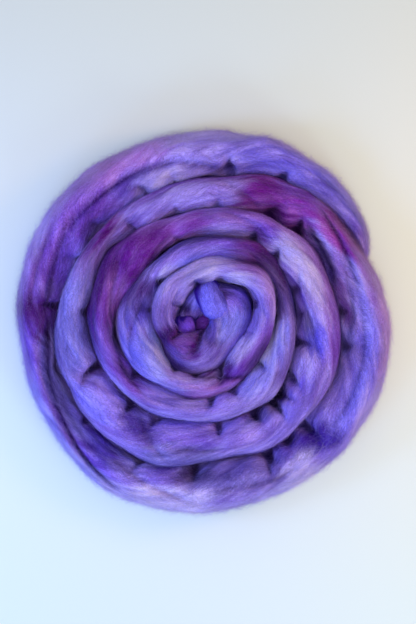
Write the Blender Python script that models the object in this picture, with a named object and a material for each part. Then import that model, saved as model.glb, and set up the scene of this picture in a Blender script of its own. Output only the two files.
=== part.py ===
# Hand-dyed wool roving: one long, soft, untwisted strand of carded wool, wound flat into a round
# coil that lies on its own turns.  The strand starts at the coil's rim, where its outer end is
# tucked down beside the second turn, winds inward counter-clockwise for five and a half turns and
# ends in a small fold at the middle.  It is one piece, so it is one solid: the strand is swept
# along the winding, section by section, with the buckles and lengthwise folds of a soft strand
# that has been bent round.  The coil rests on a flat strip along the strand's underside (z = 0),
# and the origin lies on that plane under the middle of the coil's outline.

import math

import bmesh
import bpy

MM = 0.001

# ---- The winding -------------------------------------------------------------------------------
# A place along the strand is given by its winding angle, in degrees counter-clockwise from +X,
# which grows by 360 each turn inward.
OUTER_END_DEG = 19.0
INNER_END_DEG = 2011.0

# How far the strand's outer face is from the coil's middle, in mm.  One row is one turn, and the
# columns are compass directions.  Each row carries on from the row above it, and the outer face of
# a turn is where the inner face of the turn outside it lies.
COLUMN_STEP_DEG = 30
OUTER_FACE_MM = (
    # 0     30     60     90     120    150    180    210    240    270    300    330
    (118.0, 121.0, 122.3, 120.3, 121.6, 122.3, 123.0, 124.3, 129.5, 126.2, 123.0, 123.0),  # turn 1
    (117.0, 106.6, 102.7, 92.2, 87.6, 91.6, 97.4, 102.7, 102.7, 93.5, 92.2, 90.3),  # turn 2
    (86.3, 80.4, 75.2, 71.3, 71.9, 76.5, 76.5, 75.9, 71.9, 67.4, 66.7, 62.1),  # turn 3
    (57.6, 56.2, 54.9, 51.7, 51.7, 51.7, 58.2, 58.9, 54.3, 52.3, 46.4, 42.5),  # turn 4
    (45.8, 49.1, 42.5, 37.9, 35.3, 36.0, 36.6, 35.3, 38.6, 33.4, 26.8, 25.5),  # turn 5
    (28.8, 30.7, 26.2, 22.2, 21.6, 20.3, 20.9, 17.0, 11.5, 7.5, 4.8, 3.4),  # inner end
    (2.8, 2.6, 2.6, 2.8, 3.2, 3.6, 4.2, 5.5, 5.5, 5.5, 5.5, 5.5),  # the dimple at the middle
)

# How high the strand's crown stands over the surface, in mm, each quarter turn.
CROWN_STEP_DEG = 90
CROWN_MM = (
    # 0    90    180   270
    (26.0, 29.0, 30.0, 31.0),  # turn 1
    (32.0, 35.0, 36.0, 37.0),  # turn 2
    (38.0, 39.0, 39.0, 40.0),  # turn 3
    (40.0, 41.0, 41.0, 41.0),  # turn 4
    (41.0, 41.0, 40.0, 38.0),  # turn 5
    (36.0, 32.0, 26.0, 23.0),  # inner end
)

TURN_GAP = 0.9 * MM  # clearance between neighbouring turns
OUTER_END_LENGTH = 34.0 * MM  # the outer end narrows over this length
OUTER_END_DROP = 90.0 * MM  # and sinks to the surface over this one
INNER_END_LENGTH = 9.0 * MM
END_NARROWEST = 0.16  # share of the full width left at the very tip
END_LOWEST = 0.30  # share of the full height left at the very tip

# ---- The section -------------------------------------------------------------------------------
SECTION_STEP = 7.6 * MM  # from one section to the next, along the middle of the strand
LARGEST_STEP_DEG = 14.0  # the same, where the winding is tight
SQUARENESS = 2.35  # 2 is an ellipse, more is fuller at the shoulders
LEAN = 0.08  # the crown leans outward by this share of the width
FOOT_DEG = 68.0  # the flat strip underneath runs between these two section angles
SIDE_POINTS = 16  # points over the crown, from one side of the foot to the other
SIDE_REACH_DEG = 130.0  # the last of them are this far round from the top
CROWN_CROWDING = 1.25  # 1 spaces them evenly, more draws them up to the crown

# ---- Slack twist -------------------------------------------------------------------------------
# The strand turns slowly about itself, which shows as shallow grooves that wander round it, and
# its crown rises and falls a little along its length.
TWIST_GROOVES = 3
TWIST_GROOVE_DEPTH = 1.5 * MM
TWIST_PITCH = 290.0 * MM  # length of strand for one full turn
CROWN_WAVES = (
    # wavelength mm, start deg, height mm
    (97, 20, 1.1),
    (61, 150, 0.8),
)

# ---- Buckles -----------------------------------------------------------------------------------
# Bent round, the strand buckles along its inner side into fat lobes with creases between them.
# Each crease is wide at the inner face and narrows toward the crown.  Its row gives its winding
# angle, how far it is pressed in, and half its length along the strand.
BUCKLES = (
    # degrees, depth mm, half length mm
    (46, 5.0, 7),
    (62, 5.0, 6),
    (81, 5.0, 6),
    (104, 4.5, 6),
    (140, 4.0, 7),
    (156, 3.5, 6),
    (175, 4.5, 9),
    (245, 3.5, 8),
    (266, 5.5, 8),
    (297, 8.0, 8),
    (316, 6.5, 9),
    (405, 7.5, 7),
    (419, 5.0, 6),
    (445, 4.0, 6),
    (490, 5.5, 5),
    (503, 5.5, 7),
    (564, 8.5, 7),
    (588, 7.5, 7),
    (603, 6.5, 6),
    (636, 8.0, 6),
    (655, 7.5, 6),
    (668, 6.5, 5),
    (686, 6.0, 6),
    (703, 6.0, 7),
    (737, 4.0, 7),
    (764, 7.0, 6),
    (778, 6.0, 6),
    (813, 4.5, 5),
    (831, 5.0, 5),
    (993, 6.0, 5),
    (1011, 5.0, 6),
    (1038, 5.5, 6),
    (1060, 4.0, 6),
    (1222, 6.5, 6),
    (1260, 4.0, 6),
    (1314, 6.0, 6),
    (1337, 4.5, 5),
    (1362, 4.5, 6),
    (1419, 5.5, 6),
    (1457, 5.0, 6),
    (1515, 4.0, 6),
    (1647, 7.0, 5),
    (1695, 5.0, 5),
    (1850, 3.0, 4),
)
BUCKLE_REACH = 0.70  # share of the strand's width that a crease crosses, from the inner face
CREASE_LENGTH_SHARES = (0.55, 1.35)  # of that length, toward the crown and at the inner face
BUCKLE_SINK = 0.8  # how far the crown drops there, for each unit of depth
SHOULDER_START = 0.30  # share of the height where buckles and folds fade in
SHOULDER_END = 0.75

# ---- Lengthwise folds --------------------------------------------------------------------------
# In places the broad strand is folded along its length, which shows as a groove in its crown.  The
# groove wanders between the inner face (0) and the outer face (1) of the strand.
FOLDS = (
    # start deg, end deg, across at start, across at end, depth mm
    (80, 128, 0.30, 0.48, 7.0),
    (128, 178, 0.48, 0.12, 5.0),
    (183, 236, 0.25, 0.86, 7.5),
    (316, 394, 0.36, 0.66, 8.0),
    (376, 400, 0.14, 0.40, 6.0),
    (606, 644, 0.58, 0.74, 4.0),
    (871, 902, 0.52, 0.10, 4.5),
    (908, 976, 0.12, 0.58, 4.5),
)
FOLD_WIDTH = 0.19  # half width of a groove, as a share of the strand's width
FOLD_END_DEG = 12.0  # a groove fades out over this angle at both ends
GROOVE_STEP = 0.4 * MM  # a patch this much lower along one diagonal is creased along it


def smooth(value, start, end):
    """An even ramp from 0 at start to 1 at end."""
    share = min(max((value - start) / (end - start), 0.0), 1.0)
    return share * share * (3.0 - 2.0 * share)


def read_table(rows, step_deg, angle_deg):
    """The value of a winding table at an angle, on a smooth curve through its entries."""
    values = [value for row in rows for value in row]
    place = min(max(angle_deg / step_deg, 0.0), len(values) - 1.001)
    index = int(place)
    share = place - index
    before = values[max(index - 1, 0)]
    start = values[index]
    end = values[index + 1]
    after = values[min(index + 2, len(values) - 1)]
    slope_start = (end - before) / 2.0
    slope_end = (after - start) / 2.0
    cubed = share**3
    squared = share**2
    return (
        (2 * cubed - 3 * squared + 1) * start
        + (cubed - 2 * squared + share) * slope_start
        + (3 * squared - 2 * cubed) * end
        + (cubed - squared) * slope_end
    )


def faces_of_strand(angle_deg):
    """Distances of the strand's inner and outer faces from the coil's middle."""
    outer = read_table(OUTER_FACE_MM, COLUMN_STEP_DEG, angle_deg) * MM - TURN_GAP / 2
    inner = read_table(OUTER_FACE_MM, COLUMN_STEP_DEG, angle_deg + 360) * MM + TURN_GAP / 2
    return inner, outer


def winding_stations():
    """The sections' winding angles, with their distances along the strand from its outer end.

    There is a section at each buckle's crease, and the others are evenly spaced in between.
    """
    stops = [OUTER_END_DEG] + [buckle[0] for buckle in BUCKLES] + [INNER_END_DEG]
    stations = []
    distance = 0.0
    for start_deg, end_deg in zip(stops, stops[1:]):
        inner, outer = faces_of_strand((start_deg + end_deg) / 2)
        length = math.radians(end_deg - start_deg) * (inner + outer) / 2
        steps = max(round(length / SECTION_STEP), math.ceil((end_deg - start_deg) / LARGEST_STEP_DEG))
        for step in range(steps):
            share = step / steps
            stations.append((start_deg + (end_deg - start_deg) * share, distance + length * share))
        distance += length
    stations.append((INNER_END_DEG, distance))
    return stations


def round_end(distance, length):
    """Width of a rounded end at a distance from its tip, as a share of the full width."""
    share = min(distance / length, 1.0)
    return max(math.sqrt(1.0 - (1.0 - share) ** 2), END_NARROWEST)


def buckle_depth(angle_deg, across, middle):
    """How far the inner shoulder is pressed in by creases, at a share of the strand's width."""
    at_crown, at_face = CREASE_LENGTH_SHARES
    length_share = at_crown + (at_face - at_crown) * (1.0 - across) ** 2
    depth = 0.0
    for centre_deg, depth_mm, half_length_mm in BUCKLES:
        half_length = half_length_mm * MM * length_share
        away = math.radians(angle_deg - centre_deg) * middle / half_length
        depth = max(depth, depth_mm * MM * math.exp(-away * away))
    return depth * (1.0 - smooth(across, 0.0, BUCKLE_REACH))


def fold_depth(angle_deg, across):
    """How far the crown is sunk by lengthwise folds, at a share of the strand's width."""
    depth = 0.0
    for start_deg, end_deg, across_start, across_end, depth_mm in FOLDS:
        fade_in = smooth(angle_deg, start_deg - FOLD_END_DEG / 2, start_deg + FOLD_END_DEG / 2)
        fade_out = 1.0 - smooth(angle_deg, end_deg - FOLD_END_DEG / 2, end_deg + FOLD_END_DEG / 2)
        share = min(max((angle_deg - start_deg) / (end_deg - start_deg), 0.0), 1.0)
        groove = across_start + (across_end - across_start) * share
        away = (across - groove) / FOLD_WIDTH
        depth = max(depth, depth_mm * MM * fade_in * fade_out * math.exp(-away * away))
    return depth


def twist_groove(section_deg, distance):
    """How deep the slack twist's grooves are at a place round the section."""
    turn = TWIST_GROOVES * (math.radians(section_deg) - math.tau * distance / TWIST_PITCH)
    return TWIST_GROOVE_DEPTH * (0.5 + 0.5 * math.cos(turn))


def crown_wave(distance):
    """The crown's rise and fall along the strand."""
    return sum(
        height_mm * MM * math.sin(math.tau * distance / (wavelength_mm * MM) + math.radians(start_deg))
        for wavelength_mm, start_deg, height_mm in CROWN_WAVES
    )


def section_angles():
    """Section angles, round from one edge of the foot to the other, with 90 at the crown."""
    shares = [2.0 * index / (SIDE_POINTS - 1) - 1.0 for index in range(SIDE_POINTS)]
    sides = [
        90.0 + SIDE_REACH_DEG * math.copysign(abs(share) ** CROWN_CROWDING, share)
        for share in shares
    ]
    return [-FOOT_DEG] + sides + [180.0 + FOOT_DEG]


def section_points(angle_deg, distance, strand_length):
    """One section of the strand, in the upright half-plane at its winding angle."""
    inner, outer = faces_of_strand(angle_deg)
    height = read_table(CROWN_MM, CROWN_STEP_DEG, angle_deg) * MM + crown_wave(distance)

    outer_end = round_end(distance, OUTER_END_LENGTH)
    inner_end = round_end(strand_length - distance, INNER_END_LENGTH)
    outer = inner + (outer - inner) * outer_end
    middle = (inner + outer) / 2
    width = (outer - inner) * inner_end
    sunk = smooth(distance, 0.0, OUTER_END_DROP)
    height *= END_LOWEST + (1.0 - END_LOWEST) * min(sunk, inner_end)

    points = []
    for section_deg in section_angles():
        cosine = math.cos(math.radians(section_deg))
        sine = math.sin(math.radians(section_deg))
        sideways = math.copysign(abs(cosine) ** (2.0 / SQUARENESS), cosine)
        upward = math.copysign(abs(sine) ** (2.0 / SQUARENESS), sine)
        across = (1.0 + sideways) / 2.0
        rise = (1.0 + upward) / 2.0
        if section_deg in (-FOOT_DEG, 180.0 + FOOT_DEG):
            rise = 0.0
        shoulder = smooth(rise, SHOULDER_START, SHOULDER_END)
        pressed = buckle_depth(angle_deg, across, middle) * shoulder
        groove = twist_groove(section_deg, distance) * min(outer_end, inner_end)
        lean = LEAN * width * rise**2 * (1.0 - sideways**2)
        radius = middle + sideways * (width / 2 - groove) + lean + pressed
        sink = pressed * BUCKLE_SINK + (fold_depth(angle_deg, across) + groove) * shoulder
        turn = math.radians(angle_deg)
        points.append((radius * math.cos(turn), radius * math.sin(turn), height * rise - sink))
    return points


def centre_outline(points):
    """Move points sideways so that the middle of their outline is at the origin."""
    middle_x = (min(p[0] for p in points) + max(p[0] for p in points)) / 2
    middle_y = (min(p[1] for p in points) + max(p[1] for p in points)) / 2
    return [(x - middle_x, y - middle_y, z) for x, y, z in points]


def add_patch(form, corners):
    """A four-sided patch of surface.  Where a groove crosses it, it is creased along the groove."""
    first, second, third, fourth = corners
    difference = (first.co.z + third.co.z - second.co.z - fourth.co.z) / 2
    if abs(difference) < GROOVE_STEP:
        form.faces.new(corners)
    elif difference < 0:
        form.faces.new((first, second, third))
        form.faces.new((first, third, fourth))
    else:
        form.faces.new((second, third, fourth))
        form.faces.new((second, fourth, first))


def wool_material():
    """Matte dyed wool, at the violet that the dyes average to."""
    material = bpy.data.materials.new("dyed_wool")
    material.use_nodes = True
    shader = material.node_tree.nodes["Principled BSDF"]
    shader.inputs["Base Color"].default_value = (0.235, 0.135, 0.510, 1.0)
    shader.inputs["Roughness"].default_value = 0.95
    shader.inputs["Metallic"].default_value = 0.0
    return material


def build_roving_coil():
    """The whole strand, as one closed solid."""
    stations = winding_stations()
    strand_length = stations[-1][1]
    points = []
    for angle_deg, distance in stations:
        points.extend(section_points(angle_deg, distance, strand_length))

    form = bmesh.new()
    corners = [form.verts.new(point) for point in centre_outline(points)]
    around = SIDE_POINTS + 2
    for first in range(0, len(corners) - around, around):
        for index in range(around):
            following = (index + 1) % around
            patch = (
                corners[first + index],
                corners[first + following],
                corners[first + around + following],
                corners[first + around + index],
            )
            add_patch(form, patch)
    form.faces.new(corners[:around])
    form.faces.new(corners[-around:])
    bmesh.ops.recalc_face_normals(form, faces=form.faces)

    mesh = bpy.data.meshes.new("roving_coil")
    form.to_mesh(mesh)
    form.free()
    mesh.shade_smooth()
    mesh.materials.append(wool_material())
    coil = bpy.data.objects.new("roving_coil", mesh)
    bpy.context.scene.collection.objects.link(coil)
    return coil


for leftover in list(bpy.data.objects):
    bpy.data.objects.remove(leftover, do_unlink=True)

build_roving_coil()
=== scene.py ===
# Hand-dyed wool roving, wound flat into a coil: the soft strand, its combed fibres and its fuzz.
import math

import bpy
import numpy as np
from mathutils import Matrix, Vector


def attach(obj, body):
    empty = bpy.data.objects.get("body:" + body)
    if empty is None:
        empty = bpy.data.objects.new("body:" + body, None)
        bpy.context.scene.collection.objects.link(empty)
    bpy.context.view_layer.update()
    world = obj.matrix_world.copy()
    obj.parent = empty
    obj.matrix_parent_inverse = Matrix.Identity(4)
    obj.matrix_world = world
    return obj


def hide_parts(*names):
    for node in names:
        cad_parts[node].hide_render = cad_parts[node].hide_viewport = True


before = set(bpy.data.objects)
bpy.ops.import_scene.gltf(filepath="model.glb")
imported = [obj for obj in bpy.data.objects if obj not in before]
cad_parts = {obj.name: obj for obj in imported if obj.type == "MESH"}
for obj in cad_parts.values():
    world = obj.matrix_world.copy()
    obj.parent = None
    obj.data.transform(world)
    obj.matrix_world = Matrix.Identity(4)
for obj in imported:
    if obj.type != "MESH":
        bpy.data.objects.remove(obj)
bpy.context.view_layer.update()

scene = bpy.context.scene
mm = 0.001
tiny = 1e-6  # keeps a length from being nothing

# the winding, as the construction has it: a place along the strand is its winding angle in degrees,
# which grows by 360 each turn inward
winding = {
    "outerEndDeg": 19.0,
    "innerEndDeg": 2011.0,
    "columnStepDeg": 30,
    "outerFaceMm": (  # outer face of the strand from the coil's middle, a row for each turn
        (118.0, 121.0, 122.3, 120.3, 121.6, 122.3, 123.0, 124.3, 129.5, 126.2, 123.0, 123.0),
        (117.0, 106.6, 102.7, 92.2, 87.6, 91.6, 97.4, 102.7, 102.7, 93.5, 92.2, 90.3),
        (86.3, 80.4, 75.2, 71.3, 71.9, 76.5, 76.5, 75.9, 71.9, 67.4, 66.7, 62.1),
        (57.6, 56.2, 54.9, 51.7, 51.7, 51.7, 58.2, 58.9, 54.3, 52.3, 46.4, 42.5),
        (45.8, 49.1, 42.5, 37.9, 35.3, 36.0, 36.6, 35.3, 38.6, 33.4, 26.8, 25.5),
        (28.8, 30.7, 26.2, 22.2, 21.6, 20.3, 20.9, 17.0, 11.5, 7.5, 4.8, 3.4),
        (2.8, 2.6, 2.6, 2.8, 3.2, 3.6, 4.2, 5.5, 5.5, 5.5, 5.5, 5.5),
    ),
    "crownStepDeg": 90,
    "crownMm": (  # height of the crown
        (26, 29, 30, 31),
        (32, 35, 36, 37),
        (38, 39, 39, 40),
        (40, 41, 41, 41),
        (42.5, 42.5, 41, 39),
        (36, 32, 26, 23),
    ),
    "outerEndLength": 34.0 * mm,  # the outer end narrows over this length
    "outerEndDrop": 90.0 * mm,  # and sinks to the surface over this one
    "innerEndLength": 9.0 * mm,
    "endNarrowest": 0.16,
    "endLowest": 0.30,
    "wander": (1.2 * mm, 21.0 * mm),  # how far, and over what length, the turns wander sideways
    "wanderShares": ((340, 400, 0.4, 1.0), (1650, 1900, 1.0, 0.2)),  # start and end degrees, from, to
    "samples": 4000,  # of the length along the strand
    "rim": (400, 800),  # the coil's outline is the strand up to this angle; samples
}

# the strand's body
strand = {
    "sections": 1250,  # along the strand, a multiple of bakeRows
    "around": 60,  # points round a section
    "pressed": 2.0 * mm,  # neighbouring turns press into each other by this much
    "squareness": 2.45,  # 2 is round
    "lean": 0.04,  # the crown leans outward by this share of the width
    "footDeg": 68.0,  # the flat strip underneath runs between these two section angles
    "bakeRows": 5,
    "roundLength": 110.0 * mm,  # round a section, about
    "shoulder": (0.30, 0.75),  # creases and folds fade in between these shares of the height
    "reliefFrom": 0.25,  # relief fades in up to this share of it
    "reliefAtEnds": 0.2,
    "creaseSink": 0.9,  # share of a crease's depth that sinks the crown
    "leastRadius": 0.6 * mm,
    "twistGrooves": 3,
    "twistDepth": 1.5 * mm,
    "twistPitch": 290.0 * mm,
    "crownWaves": ((97, 20, 1.1), (61, 150, 0.8)),  # wavelength mm, start deg, height mm
    # lumps and bundles: length along mm, how many round the section, height mm
    "relief": ((26, 7, 1.9), (15, 12, 0.9), (34, 26, 0.55), (20, 48, 0.32)),
    "flow": ((38, 4, 5.0), (15, 9, 1.8)),  # how fibre bundles sway: length along mm, count round, mm
}

# creases between the lobes of the inner side: degrees, depth mm, half length mm, lean, how far
# across they reach
buckles = (
    (62, 4.5, 6, -0.1, 0.3), (81, 6.5, 7, 0.4, 0.42), (104, 1.5, 6, 0.1, 0.3), (117, 3.5, 6, 0.3, 0.3),
    (140, 3, 7, 0.3, 0.3), (156, 3, 6, 0.3, 0.35), (176, 5, 6, 0, 0.5), (198, 5, 22, 0, 0.26),
    (220, 4, 10, 0, 0.24), (245, 3.5, 8, -0.4, 0.4), (266, 5.5, 11, -0.3, 0.4),
    (295, 8, 9, -0.35, 0.62), (303, 4.5, 16, 0, 0.26), (312, 6, 9, 0, 0.6), (348, 4, 8, 0, 0.34),
    (362, 4, 14, 0, 0.24), (403, 8, 9, 0.5, 0.42), (419, 5, 9, -0.2, 0.4), (445, 2.5, 7, 0.1, 0.3),
    (467, 2.5, 7, 0.4, 0.3), (490, 6, 5, 0.1, 0.75), (537, 3.5, 6, 0.1, 0.3), (564, 9, 7, 0.35, 0.66),
    (589, 6, 6, 0.2, 0.3), (603, 4, 7, -0.3, 0.38), (636, 6.5, 7, 0.2, 0.36), (655, 6.5, 8, 0.2, 0.32),
    (667, 8.5, 6, 0.1, 0.62), (674, 4.5, 4, 0.3, 0.5), (673, 5, 17, 0, 0.22), (685, 6, 6, -0.3, 0.4),
    (704, 6, 6, 0.1, 0.34), (722, 2.5, 12, 0, 0.2), (737, 3.5, 7, 0.3, 0.26), (762, 7.5, 8, 0.4, 0.32),
    (779, 6, 7, 0.3, 0.38), (831, 3, 6, 0.1, 0.3), (912, 3.5, 18, 0, 0.24), (938, 3.5, 8, 0.2, 0.4),
    (993, 5.5, 6, -0.3, 0.46), (1010, 4.5, 6, 0.2, 0.3), (1037, 3.5, 3, 0.1, 0.28),
    (1080, 3, 6, 0.2, 0.26), (1223, 6, 4, 0.2, 0.28), (1254, 3, 4, -0.3, 0.3),
    (1318, 3.5, 3, 0.1, 0.24), (1338, 3.5, 5, 0.1, 0.24), (1366, 6, 5, -0.3, 0.6),
    (1419, 4, 4, 0.1, 0.24), (1455, 3.5, 4, 0, 0.22), (1513, 3.5, 5, 0, 0.22),
    (1549, 3.5, 5, 0.2, 0.34), (1600, 4, 4, 0, 0.26), (1647, 7, 5, 0.2, 0.8), (1694, 5, 5, -0.2, 0.6),
    (1850, 2.5, 5, 0.1, 0.3), (1926, 3, 3, 0, 0.5),
)
# lengthwise folds in the crown: start and end degrees, across at start and end, depth mm
folds = (
    (84, 104, 0.16, 0.42, 6), (100, 150, 0.42, 0.52, 9), (146, 176, 0.52, 0.28, 6),
    (114, 124, 0.06, 0.34, 3), (148, 178, 0.8, 0.62, 2.5), (182, 240, 0.2, 0.88, 12),
    (204, 226, 0.3, 0.42, 3), (240, 262, 0.3, 0.72, 4), (262, 300, 0.44, 0.7, 3.5),
    (318, 372, 0.46, 0.5, 4.5), (368, 402, 0.48, 0.82, 7), (350, 384, 0.16, 0.5, 4),
    (376, 403, 0.1, 0.38, 9), (424, 446, 0.06, 0.8, 2.5), (486, 516, 0.46, 0.92, 2.5),
    (594, 614, 0.12, 0.86, 3), (612, 640, 0.55, 0.72, 3), (700, 722, 0.5, 0.2, 3.5),
    (736, 748, 0.12, 0.4, 3), (774, 800, 0.4, 0.74, 2.5), (868, 905, 0.6, 0.12, 4),
    (908, 950, 0.12, 0.46, 4.5), (956, 990, 0.46, 0.3, 2.5), (1085, 1108, 0.9, 0.2, 3),
    (1126, 1140, 0.2, 0.6, 2.5), (1250, 1292, 0.3, 0.86, 3.5), (1332, 1362, 0.06, 0.4, 5),
    (1356, 1382, 0.32, 0.92, 8), (1440, 1452, 0.5, 0.3, 2.5), (1536, 1558, 0.1, 0.22, 3),
    (1700, 1744, 0.18, 0.62, 3), (1744, 1800, 0.35, 0.25, 2.5), (1810, 1900, 0.86, 0.46, 3),
)
# where the inner part of the crown lies lower: start and end degrees, its edge across, mm
terraces = (
    (188, 230, 0.46, 8), (258, 296, 0.34, 6), (326, 392, 0.48, 3), (122, 172, 0.36, 3.5),
    (486, 512, 0.6, 3), (590, 610, 0.45, 3), (700, 722, 0.36, 4), (1082, 1132, 1.3, 5),
    (1228, 1252, 0.7, 4), (1352, 1376, 0.6, 4), (1640, 1650, 1.3, 3),
)

# the shape of a crease, for every row of buckles
crease = {
    "width": (0.55, 0.70),  # share of the row's at the outer side, and what the inner side adds
    "stray": (2.2, math.pi * mm, 3),  # its line wanders: mm, over what length, how often across
    "blunt": 0.004,  # rounds its bottom
    "cusp": 0.64,  # height of the cusp before it is brought to 1
    "tail": (0.15, 0.6, 1.7),  # share of it that runs on past its reach, fading from and to
    "pitDepthMm": 6.0,  # creases this deep have the darkest painted shade in their pits
    "pitNear": (0.55, 0.95),
    "pitAcross": 0.02,
    "dimple": (0.40, 1.3, 0.4, 2.0),  # wide hollow round it: depth, width, fading from and to
}

# the shape of a fold or terrace, and the painted shade along it
fold = {
    "width": (0.15, 0.05),  # width of a groove as a share of the strand's, toward the inside and outside
    "fall": 1.2,  # how steep its sides are
    "endDeg": 12.0,  # it fades out over this much
    "darkDepthMm": 9.0,  # folds this deep get the darkest painted shade
    "darkWidth": 0.6,
    "terraceEdge": 0.16,
    "terraceDark": 0.03,  # painted shade on a terrace, for each mm that it lies lower
}

# painted shade: how far light is taken to reach down the sides, darkening the dye colour below that
paintedShading = {
    # shares of the height where light starts and where it is full, each with what the outer side adds
    "height": ((0.28, 0.20), (0.60, 0.26)),
    "outside": (0.3, 0.7),  # the outer side, as shares of the width
    "rim": (0.55, 0.85),  # and that of the outermost turn, which nothing shades
    "rimEndDeg": (372, 396),
    "rimHeight": 0.5,
    "pitShade": 0.85,  # share of the light that the painted shade of the deepest creases and folds takes
    "fold": 0.85,
}

# one for each kind of unevenness
seeds = {
    "relief": 11, "streaks": 31, "broad": 32, "fine": 33, "ground": 35, "spots": 36,
    "wander": 41, "creases": 43, "flow": 51, "tufts": 60,
}
latticeSize = 256


def smooth(value, start, end):
    share = np.clip((value - start) / (end - start), 0.0, 1.0)
    return share * share * (3.0 - 2.0 * share)


# from 0 to 1 over an edge, as far to each side of it as soft
def past(value, edge, soft):
    return smooth(value, edge - soft, edge + soft)


# 1 between two edges, fading out over both
def within(value, start, end, soft):
    return past(value, start, soft) * (1 - past(value, end, soft))


def mix(first, second, share):
    return first * (1 - share) + second * share


def lengths(vectors):
    return np.linalg.norm(vectors, axis=-1, keepdims=True)


# a smooth curve through a table's entries, so many degrees or rows apart
def readTable(rows, stepDeg, angleDeg):
    values = np.array([value for row in rows for value in row])
    place = np.clip(np.asarray(angleDeg, float) / stepDeg, 0.0, len(values) - 1.001)
    index = place.astype(int)
    share = place - index
    before = values[np.maximum(index - 1, 0)]
    start = values[index]
    end = values[index + 1]
    after = values[np.minimum(index + 2, len(values) - 1)]
    cubed, squared = share**3, share**2
    return (
        (2 * cubed - 3 * squared + 1) * start
        + (cubed - 2 * squared + share) * (end - before) / 2
        + (3 * squared - 2 * cubed) * end
        + (cubed - squared) * (after - start) / 2
    )


# soft random unevenness between -1 and 1 that repeats after wrap steps of v
def unevenness(u, v, seed, wrap=latticeSize):
    lattice = np.random.default_rng(seed).random((latticeSize, latticeSize)) * 2.0 - 1.0
    uCell, vCell = np.floor(u).astype(int), np.floor(v).astype(int)
    uShare, vShare = smooth(u - uCell, 0, 1), smooth(v - vCell, 0, 1)
    uNear, uFar = uCell % latticeSize, (uCell + 1) % latticeSize
    vNear, vFar = vCell % wrap, (vCell + 1) % wrap
    low = mix(lattice[uNear, vNear], lattice[uFar, vNear], uShare)
    high = mix(lattice[uNear, vFar], lattice[uFar, vFar], uShare)
    return mix(low, high, vShare)


# the same along the strand and round its section, in lumps of a length in mm and so many round
def lumps(along, turnRound, lengthMm, count, seed):
    return unevenness(along / (lengthMm * mm), turnRound * count, seed, count)


# several layers of lumps, each row with its height in mm too
def layers(rows, along, turnRound, seed):
    total = 0.0
    for number, (lengthMm, count, heightMm) in enumerate(rows):
        total = total + heightMm * mm * lumps(along, turnRound, lengthMm, count, seed + number)
    return total


def evenFace(angleDeg):
    return readTable(winding["outerFaceMm"], winding["columnStepDeg"], angleDeg) * mm


arcAngles = np.arange(winding["innerEndDeg"] + 361)
arcGrid = np.cumsum(evenFace(arcAngles)) * math.pi / 180


# the outer face of the strand, where it meets the turn outside it
def outerFace(angleDeg):
    angleDeg = np.asarray(angleDeg, float)
    far, length = winding["wander"]
    for startDeg, endDeg, before, after in winding["wanderShares"]:
        far = far * (before + (after - before) * smooth(angleDeg, startDeg, endDeg))
    place = np.interp(angleDeg, arcAngles, arcGrid) / length
    return evenFace(angleDeg) + far * unevenness(place, 0.0, seeds["wander"])


def facesOfStrand(angleDeg):
    inner, outer = outerFace(np.asarray(angleDeg, float) + 360), outerFace(angleDeg)
    return inner - strand["pressed"] / 2, outer + strand["pressed"] / 2


# distance along the strand's middle for each winding angle
angleGrid = np.linspace(winding["outerEndDeg"], winding["innerEndDeg"], winding["samples"])
innerGrid, outerGrid = facesOfStrand(angleGrid)
middleGrid = (innerGrid + outerGrid) / 2
stepGrid = np.radians(np.diff(angleGrid)) * (middleGrid[1:] + middleGrid[:-1]) / 2
alongGrid = np.concatenate([[0.0], np.cumsum(stepGrid)])
strandLength = alongGrid[-1]


def alongAt(angleDeg):
    return np.interp(angleDeg, angleGrid, alongGrid)


def angleAt(along):
    return np.interp(along, alongGrid, angleGrid)


def roundEnd(distance, length):
    share = np.clip(distance / length, 0.0, 1.0)
    return np.maximum(np.sqrt(1.0 - (1.0 - share) ** 2), winding["endNarrowest"])


# where a fibre lies round the section, in turns, with the strand's twist and the sway of its bundles
def fibreTurn(along, sectionDeg):
    turn = sectionDeg / 360.0 - along / strand["twistPitch"]
    return turn + layers(strand["flow"], along, turn % 1.0, seeds["flow"]) / strand["roundLength"]


# how far creases press the inner shoulder in, how far they sink it and how much painted shade their pits get
def creasesAt(angleDeg, across, middle, width):
    shape = np.broadcast(angleDeg, across).shape
    pressedIn, dimple, pitShade = np.zeros(shape), np.zeros(shape), np.zeros(shape)
    spread = crease["width"][0] + crease["width"][1] * (1 - across) ** 2
    far, length, oftenAcross = crease["stray"]
    place = np.radians(angleDeg) * middle / length
    straying = far * unevenness(place, across * oftenAcross, seeds["creases"])
    tail, tailStart, tailEnd = crease["tail"]
    dimpleDepth, dimpleWidth, dimpleStart, dimpleEnd = crease["dimple"]
    for centreDeg, depthMm, halfMm, lean, reach in buckles:
        away = np.radians(angleDeg - centreDeg) * middle / mm - lean * across * width / mm + straying
        near = np.clip(1 - np.sqrt((away / (halfMm * spread)) ** 2 + crease["blunt"]), 0, 1)
        cusp = (1 - np.sqrt(1 - near**2)) / crease["cusp"]
        inside = (1 - smooth(across, 0.0, reach)) * (1 - tail)
        inside = inside + tail * (1 - smooth(across, reach * tailStart, reach * tailEnd))
        pressedIn = np.maximum(pressedIn, depthMm * mm * cusp * inside)
        # painted shade in the pit, by the crease's depth
        dark = min(depthMm / crease["pitDepthMm"], 1.0) * smooth(near, *crease["pitNear"])
        pitShade = np.maximum(pitShade, dark * (1 - smooth(across, crease["pitAcross"], reach)))
        hollow = np.exp(-((away / (halfMm * dimpleWidth)) ** 2))
        hollow = hollow * (1 - smooth(across, reach * dimpleStart, reach * dimpleEnd))
        dimple = np.maximum(dimple, depthMm * mm * hollow)
    return pressedIn, pressedIn + dimpleDepth * dimple, pitShade
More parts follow.
